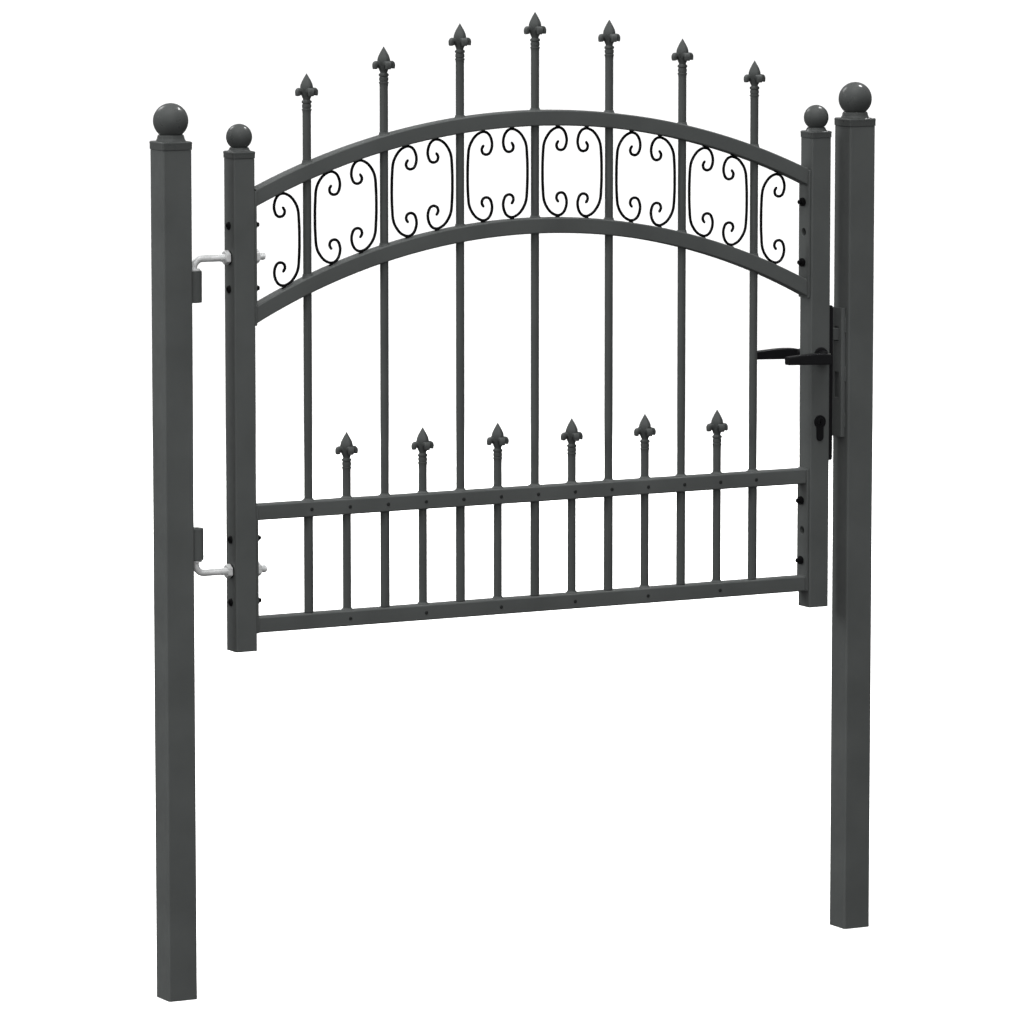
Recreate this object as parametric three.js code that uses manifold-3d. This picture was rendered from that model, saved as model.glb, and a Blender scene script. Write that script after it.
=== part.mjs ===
// Arched garden gate: one swinging leaf of steel tube between two square posts.
// Millimetres. X runs along the closed leaf, Y from the street side to the garden side, Z is up.
// The origin lies midway between the posts, level with their lower ends.
import * as THREE from "three";
import { mergeVertices } from "three/addons/utils/BufferGeometryUtils.js";
import Module from "manifold-3d";

const wasm = await Module();
wasm.setup();

// ---- Driving dimensions -------------------------------------------------------------------
const GAP = 0.3; // play left between pieces that touch
const POST = { x: 501.4, side: 40, wall: 2, round: 3, top: 1082 };
const STILE = { left: -406.6, right: 441.1, side: 30, wall: 1.5, round: 2.5, foot: 441, top: 1068.3 };
const POST_CAP = { skirt: 42, skirtHeight: 10.4, flareFoot: 19.5, flareHead: 16.5, ball: 22.3, height: 58 };
const STILE_CAP = { skirt: 32, skirtHeight: 8.8, flareFoot: 14.5, flareHead: 11.7, ball: 16.65, height: 43 };
const RAIL = { side: 20, wall: 1.5, round: 2 };
const BOTTOM_RAIL = 473; // height of each straight rail's centre line
const MIDDLE_RAIL = 617.5;
const UPPER_ARCH = { radius: 977, top: 1116.3 }; // outer radius and crown height
const LOWER_ARCH = { radius: 900, top: 977.1 };
const STRIP = { width: 25, thick: 3, upper: [856, 1026], lower: [463, 627.5] };

const PITCH = 109.6; // between the axes of two long pickets
const BAR = { radius: 5.4, sleeve: 6, hole: 6.2 };
const LONG_TIPS = [1172.4, 1203.7, 1230.7, 1243, 1230.7, 1203.7, 1172.4];
const SHORT_TIP = 713;
const FINIAL = 51.5; // from the tip down to the lower end of the ferrule
const PETAL = { reach: 15.4, width: 8.5 };

const SCROLL = { wire: 3.2, clear: 10.8 }; // clear: picket axis to the wire's centre line

const HINGE = { x: -471.1, rod: 4.4, bend: 12, socket: 10.4, bore: 4.8, thread: 5.4, end: -372.2 };
const UPPER_HINGE = { rod: 943, pinEnd: 893, socket: [888.3, 928.4] };
const LOWER_HINGE = { rod: 544, pinEnd: 597, socket: [561.1, 602] };
const NUT = { across: 16, thick: 7 };

const LOCK = { face: [637.3, 844.4], faceThick: 5.6, faceWidth: 25, case: [655, 826], caseWidth: 15 };
const SPINDLE = { x: 441.5, z: 779, side: 8 };
const LEVER = { inner: 36, outer: 48, neck: 7, tip: 373, socketEnd: 35 };
const CYLINDER = { x: 440.7, z: 690.4, radius: 8.5, leg: 5, foot: 664.7, reach: 17, bore: 6 };
const LATCH = { z: [797, 813], half: 5, x: [446, 477], wayBack: 430.7 };
const BOLT = { z: [722, 752], half: 5, x: [436, 461.7], wayBack: 435.7 };
const KEEP = { face: 475, half: 12.5, wall: 2, z: [667.4, 840.2] };

// ---- Finishes -----------------------------------------------------------------------------
const finish = (color, roughness, metalness) =>
  new THREE.MeshStandardMaterial({ color, roughness, metalness });
const anthracite = () => finish(0x484a49, 0.5, 0.2);
const black = () => finish(0x111212, 0.45, 0.2);
const zinc = () => finish(0x9da0a0, 0.4, 0.9);

// ---- Solids -------------------------------------------------------------------------------
function solid(geometry) {
  const bare = geometry.clone();
  bare.deleteAttribute("normal");
  bare.deleteAttribute("uv");
  const merged = mergeVertices(bare, 1e-4);
  return new wasm.Manifold(
    new wasm.Mesh({
      numProp: 3,
      vertProperties: new Float32Array(merged.attributes.position.array),
      triVerts: new Uint32Array(merged.index.array),
    }),
  );
}

function geometryOf(made) {
  const mesh = made.getMesh();
  const geometry = new THREE.BufferGeometry();
  geometry.setAttribute("position", new THREE.BufferAttribute(mesh.vertProperties, 3));
  geometry.setIndex(new THREE.BufferAttribute(mesh.triVerts, 1));
  geometry.computeVertexNormals();
  return geometry;
}

const join = (first, ...rest) => rest.reduce((sum, part) => sum.add(part), first);
const cut = (first, ...rest) => rest.reduce((sum, part) => sum.subtract(part), first);

function box([x0, x1], [y0, y1], [z0, z1]) {
  const geometry = new THREE.BoxGeometry(x1 - x0, y1 - y0, z1 - z0);
  return solid(geometry.translate((x0 + x1) / 2, (y0 + y1) / 2, (z0 + z1) / 2));
}

// A round bar along X, Y or Z between two places on that axis.
function rod(axis, radius, [from, to], [x, y, z], sides = 12) {
  const geometry = new THREE.CylinderGeometry(radius, radius, to - from, sides);
  if (axis === "x") geometry.rotateZ(-Math.PI / 2).translate((from + to) / 2, y, z);
  if (axis === "y") geometry.translate(x, (from + to) / 2, z);
  if (axis === "z") geometry.rotateX(Math.PI / 2).translate(x, y, (from + to) / 2);
  return solid(geometry);
}

// A closed profile of [radius, height] points turned about the vertical through (x, y).
function turned(profile, sides, [x, y] = [0, 0]) {
  const points = profile.map(([radius, height]) => new THREE.Vector2(radius, height));
  const geometry = new THREE.LatheGeometry(points, sides);
  return solid(geometry.rotateX(Math.PI / 2).translate(x, y, 0));
}

function roundedRect(width, height, round) {
  const [w, h] = [width / 2, height / 2];
  const outline = new THREE.Shape();
  outline.absarc(w - round, h - round, round, 0, Math.PI / 2);
  outline.absarc(round - w, h - round, round, Math.PI / 2, Math.PI);
  outline.absarc(round - w, round - h, round, Math.PI, 1.5 * Math.PI);
  outline.absarc(w - round, round - h, round, 1.5 * Math.PI, 2 * Math.PI);
  outline.closePath();
  return outline;
}

function prism(outline, depth, curveSegments = 1) {
  return new THREE.ExtrudeGeometry(outline, { depth, bevelEnabled: false, curveSegments });
}

// An outline drawn in X and Z, made solid between two places on Y.
function slab(outline, [near, far], curveSegments) {
  return solid(prism(outline, far - near, curveSegments).rotateX(Math.PI / 2).translate(0, far, 0));
}

function polygon(points) {
  return new THREE.Shape(points.map(([x, y]) => new THREE.Vector2(x, y)));
}

function squareTube({ side, wall, round }, length) {
  const outline = roundedRect(side, side, round);
  const inner = side - 2 * wall;
  outline.holes.push(roundedRect(inner, inner, Math.max(round - wall, 0.8)));
  return prism(outline, length);
}

// ---- Assembly -----------------------------------------------------------------------------
const gate = new THREE.Group();

function add(name, made, material) {
  const mesh = new THREE.Mesh(geometryOf(made), material);
  mesh.name = name;
  gate.add(mesh);
}

// ---- Posts and caps -----------------------------------------------------------------------
function post(x) {
  return solid(squareTube(POST, POST.top - GAP).translate(x, 0, 0));
}

// Square skirt, flared round neck and ball, with a plug that sits inside the tube.
function ballCap(cap, tube, x, foot) {
  const inner = tube.side - 2 * tube.wall - 2 * GAP;
  const skirtTop = foot + cap.skirtHeight;
  const ballCentre = foot + cap.height - cap.ball;
  const seat = ballCentre - Math.sqrt(cap.ball ** 2 - cap.flareHead ** 2);
  const seatAngle = Math.asin(cap.flareHead / cap.ball);
  const steps = 7;
  const profile = [[0, skirtTop - 1], [cap.flareFoot, skirtTop - 1], [cap.flareFoot, skirtTop]];
  profile.push([cap.flareHead, seat]);
  for (let i = 1; i < steps; i++) {
    const angle = seatAngle + ((Math.PI - seatAngle) * i) / steps;
    profile.push([cap.ball * Math.sin(angle), ballCentre - cap.ball * Math.cos(angle)]);
  }
  profile.push([0, foot + cap.height]);
  const skirt = prism(roundedRect(cap.skirt, cap.skirt, tube.round), cap.skirtHeight);
  const plug = prism(roundedRect(inner, inner, 1), 12);
  return join(
    solid(skirt.translate(x, 0, foot)),
    turned(profile, 16, [x, 0]),
    solid(plug.translate(x, 0, foot - 11)),
  );
}

for (const [name, x] of [["left", -POST.x], ["right", POST.x]]) {
  add(`${name}_post`, post(x), anthracite());
  add(`${name}_post_cap`, ballCap(POST_CAP, POST, x, POST.top), anthracite());
}

// ---- Leaf frame ---------------------------------------------------------------------------
const stileFaceLeft = STILE.left + STILE.side / 2;
const stileFaceRight = STILE.right - STILE.side / 2;
const railEnds = [stileFaceLeft + STRIP.thick + 2 * GAP, stileFaceRight - STRIP.thick - 2 * GAP];
const leafCentre = (STILE.left + STILE.right) / 2;
const bars = [-3, -2, -1, 0, 1, 2, 3].map((k) => leafCentre + k * PITCH);
const halfBars = [-2.5, -1.5, -0.5, 0.5, 1.5, 2.5].map((k) => leafCentre + k * PITCH);

function stile(x) {
  const length = STILE.top - GAP - STILE.foot;
  return solid(squareTube(STILE, length).translate(x, 0, STILE.foot));
}

function euroProfile(play) {
  const { x, z, radius, leg, foot } = CYLINDER;
  const round = rod("y", radius + play, [-20, 20], [x, 0, z], 20);
  return round.add(box([x - leg - play, x + leg + play], [-20, 20], [foot - play, z]));
}

const hookHoles = (ends, x) =>
  [UPPER_HINGE.rod, LOWER_HINGE.rod].map((z) => rod("x", HINGE.thread, ends, [x, 0, z]));

const wallSlot = box(
  [STILE.right + STILE.side / 2 - 3, STILE.right + STILE.side / 2 + 3],
  [-LOCK.caseWidth / 2 - GAP, LOCK.caseWidth / 2 + GAP],
  [LOCK.case[0] - GAP, LOCK.case[1] + GAP],
);
const spindleHole = rod("y", 6.6, [-20, 20], [SPINDLE.x, 0, SPINDLE.z], 16);
const rightHoles = hookHoles([stileFaceRight - 5, stileFaceRight + 5], 0);

add("left_stile", cut(stile(STILE.left), ...hookHoles([-430, -380], 0)), anthracite());
add(
  "right_stile",
  cut(stile(STILE.right), wallSlot, spindleHole, euroProfile(GAP), ...rightHoles),
  anthracite(),
);
add("left_stile_cap", ballCap(STILE_CAP, STILE, STILE.left, STILE.top), anthracite());
add("right_stile_cap", ballCap(STILE_CAP, STILE, STILE.right, STILE.top), anthracite());

// Flat bars on the inner faces of the stiles, which the rails are welded to.
function strip(inner, outer, [low, high], holeHeight) {
  const half = STRIP.width / 2;
  const plate = box([inner, outer], [-half, half], [low, high]);
  return cut(plate, rod("x", HINGE.thread, [inner - 5, outer + 5], [0, 0, holeHeight]));
}

const leftStrip = [stileFaceLeft + GAP, stileFaceLeft + GAP + STRIP.thick];
const rightStrip = [stileFaceRight - GAP - STRIP.thick, stileFaceRight - GAP];
for (const [name, [inner, outer]] of [["left", leftStrip], ["right", rightStrip]]) {
  add(`${name}_strip_upper`, strip(inner, outer, STRIP.upper, UPPER_HINGE.rod), anthracite());
  add(`${name}_strip_lower`, strip(inner, outer, STRIP.lower, LOWER_HINGE.rod), anthracite());
}

// ---- Rails --------------------------------------------------------------------------------
const barHole = (x, from, to) => rod("z", BAR.hole, [from, to], [x, 0, 0], 8);

function straightRail(z) {
  const tube = squareTube(RAIL, railEnds[1] - railEnds[0]);
  return solid(tube.rotateZ(Math.PI / 2).rotateY(Math.PI / 2).translate(railEnds[0], 0, z));
}

const middleHoles = [...bars, ...halfBars].map((x) => barHole(x, MIDDLE_RAIL - 15, MIDDLE_RAIL + 15));
const bottomHoles = halfBars.map((x) => barHole(x, BOTTOM_RAIL, BOTTOM_RAIL + 15));
add("middle_rail", cut(straightRail(MIDDLE_RAIL), ...middleHoles), anthracite());
add("bottom_rail", cut(straightRail(BOTTOM_RAIL), ...bottomHoles), anthracite());

// The band between two radii about an arch's centre, a little longer than the arch.
function band({ radius, top }, inset, depth) {
  const reach = Math.asin(430 / radius);
  const [from, to] = [Math.PI / 2 - reach, Math.PI / 2 + reach];
  const outline = new THREE.Shape();
  outline.absarc(leafCentre, top - radius, radius - inset, from, to, false);
  outline.absarc(leafCentre, top - radius, radius - RAIL.side + inset, to, from, true);
  outline.closePath();
  return slab(outline, [-depth / 2, depth / 2], 16);
}

function archRail(arch) {
  const span = box(railEnds, [-50, 50], [arch.top - 200, arch.top + 50]);
  const shell = band(arch, 0, RAIL.side).intersect(span);
  const hollow = band(arch, RAIL.wall, RAIL.side - 2 * RAIL.wall);
  return cut(shell, hollow, ...bars.map((x) => barHole(x, arch.top - 150, arch.top + 20)));
}

add("upper_arch_rail", archRail(UPPER_ARCH), anthracite());
add("lower_arch_rail", archRail(LOWER_ARCH), anthracite());

// ---- Pickets ------------------------------------------------------------------------------
// Spear head on its ferrule: [radius, distance below the tip].
const SPEAR = [
  [0, 0],
  [4.6, 6.5],
  [7.4, 16.5],
  [7.6, 22],
  [6.6, 29],
  [4.7, 33],
  [5.9, 36],
  [5.9, 46],
  [BAR.radius, FINIAL],
];
// One curled petal seen from the side: [distance from the axis, distance below the tip].
const CURL = [[3, 17.5], [11, 17.5], [PETAL.reach, 20], [PETAL.reach, 26.5], [12, 29], [11, 27], [11.5, 22], [3, 26]];

function picket(x, tip, barFoot) {
  const head = SPEAR.map(([radius, drop]) => [radius, tip - drop]);
  const parts = [turned([...head, ...barFoot].toReversed(), 10, [x, 0])];
  for (const side of [-1, 1]) {
    const outline = polygon(CURL.map(([reach, drop]) => [side * reach, tip - drop]));
    const curl = prism(outline, PETAL.width).translate(0, 0, -PETAL.width / 2).rotateX(Math.PI / 2);
    const turnedCurl = curl.clone().rotateZ(Math.PI / 2);
    parts.push(solid(curl.translate(x, 0, 0)), solid(turnedCurl.translate(x, 0, 0)));
  }
  return join(...parts);
}

const railHalf = RAIL.side / 2;
const sleeveFoot = [
  [BAR.radius, MIDDLE_RAIL - railHalf - GAP],
  [BAR.sleeve, MIDDLE_RAIL - railHalf - GAP],
  [BAR.sleeve, BOTTOM_RAIL + railHalf + GAP],
  [0, BOTTOM_RAIL + railHalf + GAP],
];
const shortFootHeight = BOTTOM_RAIL - railHalf + RAIL.wall + GAP;
const shortFoot = [[BAR.radius, shortFootHeight], [0, shortFootHeight]];
bars.forEach((x, i) => add(`long_picket_${i + 1}`, picket(x, LONG_TIPS[i], sleeveFoot), anthracite()));
halfBars.forEach((x, i) => add(`short_picket_${i + 1}`, picket(x, SHORT_TIP, shortFoot), anthracite()));

// ---- Scrolls between the arches -----------------------------------------------------------
// Half a scroll, from the end of its curl round to the middle of its back:
// [distance from the back, distance from the arch that it touches].
const HALF_SCROLL = [
  [23.7, 16.8],
  [20.6, 22.6],
  [22.3, 27.6],
  [27.2, 29.5],
  [32.2, 27.4],
  [35.6, 18],
  [33.6, 7.6],
  [28.8, 1.7],
  [22.3, 0],
  [13.2, 3.8],
  [6.3, 11.5],
  [2.2, 20.5],
  [0.5, 37],
];

const archHeight = ({ radius, top }, x, inset) =>
  top - radius + Math.sqrt((radius - inset) ** 2 - (x - leafCentre) ** 2);

function scroll(backX, side) {
  const away = SCROLL.wire / 2 + 2 * GAP;
  const at = (back) => backX + side * back;
  const shoulders = HALF_SCROLL.filter(([, drop]) => drop < 13);
  const ceiling = ([back, drop]) => archHeight(UPPER_ARCH, at(back), RAIL.side + away) + drop;
  const floor = ([back, drop]) => archHeight(LOWER_ARCH, at(back), -away) - drop;
  const high = Math.min(...shoulders.map(ceiling));
  const low = Math.max(...shoulders.map(floor));
  const route = [
    ...HALF_SCROLL.map(([back, drop]) => new THREE.Vector3(at(back), 0, high - drop)),
    new THREE.Vector3(at(0), 0, (high + low) / 2),
    ...HALF_SCROLL.toReversed().map(([back, drop]) => new THREE.Vector3(at(back), 0, low + drop)),
  ];
  const half = SCROLL.wire / 2;
  const section = polygon([[-half, -half], [half, -half], [half, half], [-half, half]]);
  const path = new THREE.CatmullRomCurve3(route, false, "centripetal");
  return solid(new THREE.ExtrudeGeometry(section, { steps: 34, extrudePath: path, bevelEnabled: false }));
}

const scrollPlaces = bars.slice(0, 6).flatMap((x) => [[x + SCROLL.clear, 1], [x + PITCH - SCROLL.clear, -1]]);
scrollPlaces.unshift([bars[0] - SCROLL.clear, -1]);
scrollPlaces.push([bars[6] + SCROLL.clear, 1]);
scrollPlaces.forEach(([x, side], i) => add(`scroll_${i + 1}`, scroll(x, side), black()));

// ---- Hinges -------------------------------------------------------------------------------
function socket([low, high]) {
  const barrel = rod("z", HINGE.socket, [low, high], [HINGE.x, 0, 0], 24);
  const bore = rod("z", HINGE.bore, [low - 5, high + 5], [HINGE.x, 0, 0], 16);
  const flat = box([-POST.x, -POST.x + POST.side / 2 + GAP], [-20, 20], [low - 5, high + 5]);
  return cut(barrel, bore, flat);
}

const QUARTER_TURN = 0.5523; // handle length of the cubic that follows a quarter circle

// Bolt bent at a right angle: its pin stands in the socket, its thread runs through the stile.
function hookBolt({ rod: height, pinEnd }) {
  const turn = Math.sign(pinEnd - height) * HINGE.bend;
  const path = new THREE.CurvePath();
  const corner = new THREE.Vector3(HINGE.x, 0, height);
  const below = new THREE.Vector3(HINGE.x, 0, height + turn);
  const beside = new THREE.Vector3(HINGE.x + HINGE.bend, 0, height);
  path.add(new THREE.LineCurve3(new THREE.Vector3(HINGE.x, 0, pinEnd), below));
  const [first, second] = [below, beside].map((end) => end.clone().lerp(corner, QUARTER_TURN));
  path.add(new THREE.CubicBezierCurve3(below, first, second, beside));
  path.add(new THREE.LineCurve3(beside, new THREE.Vector3(HINGE.end, 0, height)));
  const section = new THREE.Shape().absarc(0, 0, HINGE.rod, 0, 2 * Math.PI);
  const options = { steps: 28, curveSegments: 4, extrudePath: path, bevelEnabled: false };
  return solid(new THREE.ExtrudeGeometry(section, options));
}

function nut(from, to, z) {
  const hexagon = new THREE.CylinderGeometry(NUT.across / Math.sqrt(3), NUT.across / Math.sqrt(3), to - from, 6);
  const body = solid(hexagon.rotateZ(-Math.PI / 2).translate((from + to) / 2, 0, z));
  return cut(body, rod("x", HINGE.thread, [from - 1, to + 1], [0, 0, z]));
}

const outerNut = STILE.left - STILE.side / 2 - GAP;
const innerNut = leftStrip[1] + GAP;
for (const [name, hinge] of [["upper", UPPER_HINGE], ["lower", LOWER_HINGE]]) {
  add(`hinge_socket_${name}`, socket(hinge.socket), anthracite());
  add(`hook_bolt_${name}`, hookBolt(hinge), zinc());
  add(`hook_nut_outer_${name}`, nut(outerNut - NUT.thick, outerNut, hinge.rod), zinc());
  add(`hook_nut_inner_${name}`, nut(innerNut, innerNut + NUT.thick, hinge.rod), zinc());
}

// ---- Lock, handle and keep ----------------------------------------------------------------
const stileOuter = STILE.right + STILE.side / 2;
const faceX = [stileOuter + GAP, stileOuter + GAP + LOCK.faceThick];

// A sliding bolt's channel in the lock case, open at the faceplate.
function boltWay({ z: [low, high], half, wayBack }) {
  return box([wayBack, faceX[1] + 1], [-half - GAP, half + GAP], [low - GAP, high + GAP]);
}

function lockCase() {
  const half = LOCK.caseWidth / 2;
  const body = box([STILE.right - STILE.side / 2 + STILE.wall + GAP, faceX[0] + 1], [-half, half], LOCK.case);
  const plateHalf = LOCK.faceWidth / 2;
  const plate = box(faceX, [-plateHalf, plateHalf], LOCK.face);
  const follower = rod("y", 6, [-20, 20], [SPINDLE.x, 0, SPINDLE.z], 16);
  return cut(join(body, plate), follower, euroProfile(GAP), boltWay(LATCH), boltWay(BOLT));
}

function latchBolt() {
  const [back, tip] = LATCH.x;
  const { half } = LATCH;
  const outline = polygon([[back, -half], [tip, -half], [tip, -half + 3], [tip - 9, half], [back, half]]);
  return solid(prism(outline, LATCH.z[1] - LATCH.z[0]).translate(0, 0, LATCH.z[0]));
}

function lockCylinder() {
  const { x, z, reach, bore } = CYLINDER;
  const body = euroProfile(0).intersect(box([x - 20, x + 20], [-reach, reach], [z - 40, z + 20]));
  return cut(body, rod("y", bore, [-20, 20], [x, 0, z], 16));
}

function cylinderPlug() {
  const { x, z, reach, bore } = CYLINDER;
  const body = rod("y", bore - GAP, [-reach - 0.5, reach + 0.5], [x, 0, z], 16);
  return cut(body, box([x - 1.1, x + 1.1], [-reach - 1, -reach + 9], [z - 4, z + 3]));
}

// Grip seen from the front: [distance from the spindle towards the hinges, height above it].
const GRIP = [
  [2.6, -7.8],
  [2.6, 3.6],
  [7, 5],
  [27, 6],
  [45, 5.2],
  [SPINDLE.x - LEVER.tip, 3.5],
  [SPINDLE.x - LEVER.tip, -6.3],
  [4.5, -9.3],
];

function lever(side) {
  const { x, z } = SPINDLE;
  const along = (from, to) => (side < 0 ? [-to, -from] : [from, to]);
  const outline = polygon(GRIP.map(([back, up]) => [x - back, z + up]));
  const grip = slab(outline, along(LEVER.inner, LEVER.outer));
  const neck = rod("y", LEVER.neck, along(STILE.side / 2 + 1, LEVER.inner + 1), [x, 0, z], 16);
  const half = SPINDLE.side / 2 + GAP;
  const hole = box([x - half, x + half], along(10, LEVER.socketEnd), [z - half, z + half]);
  return cut(join(grip, neck), hole);
}

function spindle() {
  const half = SPINDLE.side / 2;
  const end = LEVER.socketEnd - 2 * GAP;
  return box([SPINDLE.x - half, SPINDLE.x + half], [-end, end], [SPINDLE.z - half, SPINDLE.z + half]);
}

// Channel welded to the right post, with windows for the latch and the bolt.
function strikeKeep() {
  const back = POST.x - POST.side / 2 - GAP;
  const inside = KEEP.half - KEEP.wall;
  const window = ([low, high]) =>
    box([KEEP.face - 5, KEEP.face + 5], [-LATCH.half - 1, LATCH.half + 1], [low - 2, high + 2]);
  return cut(
    box([KEEP.face, back], [-KEEP.half, KEEP.half], KEEP.z),
    box([KEEP.face + KEEP.wall, back + 5], [-inside, inside], [KEEP.z[0] - 5, KEEP.z[1] + 5]),
    window(LATCH.z),
    window(BOLT.z),
  );
}

add("lock_case", lockCase(), black());
add("lock_cylinder", lockCylinder(), black());
add("cylinder_plug", cylinderPlug(), zinc());
add("latch_bolt", latchBolt(), zinc());
add("dead_bolt", box(BOLT.x, [-BOLT.half, BOLT.half], BOLT.z), zinc());
add("lever_front", lever(-1), black());
add("lever_back", lever(1), black());
add("lever_spindle", spindle(), zinc());
add("strike_keep", strikeKeep(), anthracite());

export default gate;
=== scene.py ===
"""Looks of the arched garden gate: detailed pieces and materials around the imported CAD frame.

Places and main sizes come from the CAD boxes, in metres. Small detail sizes are given in
millimetres through mm().
"""

import math

import bmesh
import bpy
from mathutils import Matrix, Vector


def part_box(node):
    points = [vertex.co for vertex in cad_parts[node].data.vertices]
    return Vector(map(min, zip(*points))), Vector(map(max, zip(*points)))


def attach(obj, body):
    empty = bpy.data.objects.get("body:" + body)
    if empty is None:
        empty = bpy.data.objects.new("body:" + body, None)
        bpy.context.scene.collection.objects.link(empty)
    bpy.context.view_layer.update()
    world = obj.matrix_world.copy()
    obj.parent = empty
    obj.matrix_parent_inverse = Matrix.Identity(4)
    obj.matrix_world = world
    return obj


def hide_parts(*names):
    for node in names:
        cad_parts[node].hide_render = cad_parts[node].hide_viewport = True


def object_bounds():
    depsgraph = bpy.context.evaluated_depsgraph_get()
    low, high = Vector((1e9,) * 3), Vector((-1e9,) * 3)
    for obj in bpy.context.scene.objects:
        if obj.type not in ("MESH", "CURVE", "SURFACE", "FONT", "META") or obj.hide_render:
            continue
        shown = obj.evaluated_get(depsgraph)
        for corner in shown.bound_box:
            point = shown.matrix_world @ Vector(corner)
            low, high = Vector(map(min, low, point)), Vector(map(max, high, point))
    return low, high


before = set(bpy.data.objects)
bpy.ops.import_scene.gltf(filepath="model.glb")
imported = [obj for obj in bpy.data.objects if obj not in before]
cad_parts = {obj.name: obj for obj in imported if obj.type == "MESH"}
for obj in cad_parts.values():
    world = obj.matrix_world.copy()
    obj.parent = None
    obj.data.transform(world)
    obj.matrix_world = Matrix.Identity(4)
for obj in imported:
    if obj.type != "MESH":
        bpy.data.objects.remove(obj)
cad_low, cad_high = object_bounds()

X, Y, Z = Vector((1, 0, 0)), Vector((0, 1, 0)), Vector((0, 0, 1))
GAP = 0.0003  # play between pieces that touch
SIDES = 32  # points round a turned piece


def mm(value):
    return value * 0.001


def low(node):
    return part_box(node)[0]


def high(node):
    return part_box(node)[1]


def middle(node):
    return (low(node) + high(node)) / 2


# ---- Materials ----------------------------------------------------------------------------


class Nodes:
    """A material with a Principled shader, and short calls that add and link nodes."""

    def __init__(self, name, color, roughness, metallic=0.0):
        self.material = bpy.data.materials.new(name)
        self.material.use_nodes = True
        self.material.diffuse_color = (*color, 1)
        self.tree = self.material.node_tree
        self.shader = self.tree.nodes["Principled BSDF"]
        self.set("Base Color", (*color, 1))
        self.set("Roughness", roughness)
        self.set("Metallic", metallic)
        self.place = self.add("ShaderNodeTexCoord").outputs["Object"]

    def set(self, socket, value):
        self.shader.inputs[socket].default_value = value

    def add(self, kind):
        return self.tree.nodes.new(kind)

    def link(self, output, target):
        self.tree.links.new(output, target)

    def noise(self, scale, detail=3.0, stretch=(1, 1, 1)):
        mapping = self.add("ShaderNodeMapping")
        mapping.inputs["Scale"].default_value = stretch
        self.link(self.place, mapping.inputs["Vector"])
        node = self.add("ShaderNodeTexNoise")
        node.inputs["Scale"].default_value = scale
        node.inputs["Detail"].default_value = detail
        self.link(mapping.outputs["Vector"], node.inputs["Vector"])
        return node.outputs["Fac"]

    def spread(self, value, lowest, highest):
        """A noise value stretched over a range, on its way to the roughness."""
        node = self.add("ShaderNodeMapRange")
        node.inputs["From Min"].default_value = 0.3
        node.inputs["From Max"].default_value = 0.7
        node.inputs["To Min"].default_value = lowest
        node.inputs["To Max"].default_value = highest
        self.link(value, node.inputs["Value"])
        self.link(node.outputs["Result"], self.shader.inputs["Roughness"])

    def tint(self, value, first, second):
        """A noise value turned into a colour between two, for the base colour."""
        ramp = self.add("ShaderNodeValToRGB")
        for element, position, color in zip(ramp.color_ramp.elements, (0.3, 0.7), (first, second)):
            element.position = position
            element.color = (*color, 1)
        self.link(value, ramp.inputs["Fac"])
        self.link(ramp.outputs["Color"], self.shader.inputs["Base Color"])

    def bump(self, value, distance, strength, after=None):
        node = self.add("ShaderNodeBump")
        node.inputs["Strength"].default_value = strength
        node.inputs["Distance"].default_value = distance
        self.link(value, node.inputs["Height"])
        if after is not None:
            self.link(after, node.inputs["Normal"])
        self.link(node.outputs["Normal"], self.shader.inputs["Normal"])
        return node.outputs["Normal"]


def shade(color, factor):
    return tuple(channel * factor for channel in color)


def powder_coat(name, color, roughness, specular, grain=1.0):
    """Baked powder paint: fine orange peel over a slightly wavy coat, with uneven sheen."""
    paint = Nodes(name, color, roughness)
    paint.set("Specular IOR Level", specular)
    paint.tint(paint.noise(14, 6), shade(color, 0.9), shade(color, 1.1))
    paint.spread(paint.noise(60, 4), roughness - 0.07, roughness + 0.08)
    waves = paint.bump(paint.noise(240, 2), mm(0.04) * grain, 0.5)
    paint.bump(paint.noise(1300, 2), mm(0.025) * grain, 0.5, waves)
    return paint.material


def moulded_plastic(name, color, roughness, specular, coat):
    """Moulded plastic: even colour and a fine texture under a soft gloss."""
    plastic = Nodes(name, color, roughness)
    plastic.set("Specular IOR Level", specular)
    plastic.set("Coat Weight", coat)
    plastic.set("Coat Roughness", 0.08)
    plastic.tint(plastic.noise(30, 4), shade(color, 0.93), shade(color, 1.07))
    plastic.spread(plastic.noise(110, 3), roughness - 0.04, roughness + 0.05)
    plastic.bump(plastic.noise(900, 2), mm(0.01), 0.35)
    return plastic.material


def plated_steel(name, color, roughness, stretch, metallic=1.0):
    """Plated metal: drawn lines along the piece and faint blotches in the plating."""
    metal = Nodes(name, color, roughness, metallic)
    metal.tint(metal.noise(90, 5), shade(color, 0.8), shade(color, 1.12))
    lines = metal.noise(600, 3, stretch)
    metal.spread(lines, roughness - 0.08, roughness + 0.14)
    metal.bump(lines, mm(0.02), 0.5)
    return metal.material


ANTHRACITE = (0.055, 0.0585, 0.0575)
BLACK = (0.003, 0.003, 0.0033)

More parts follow.
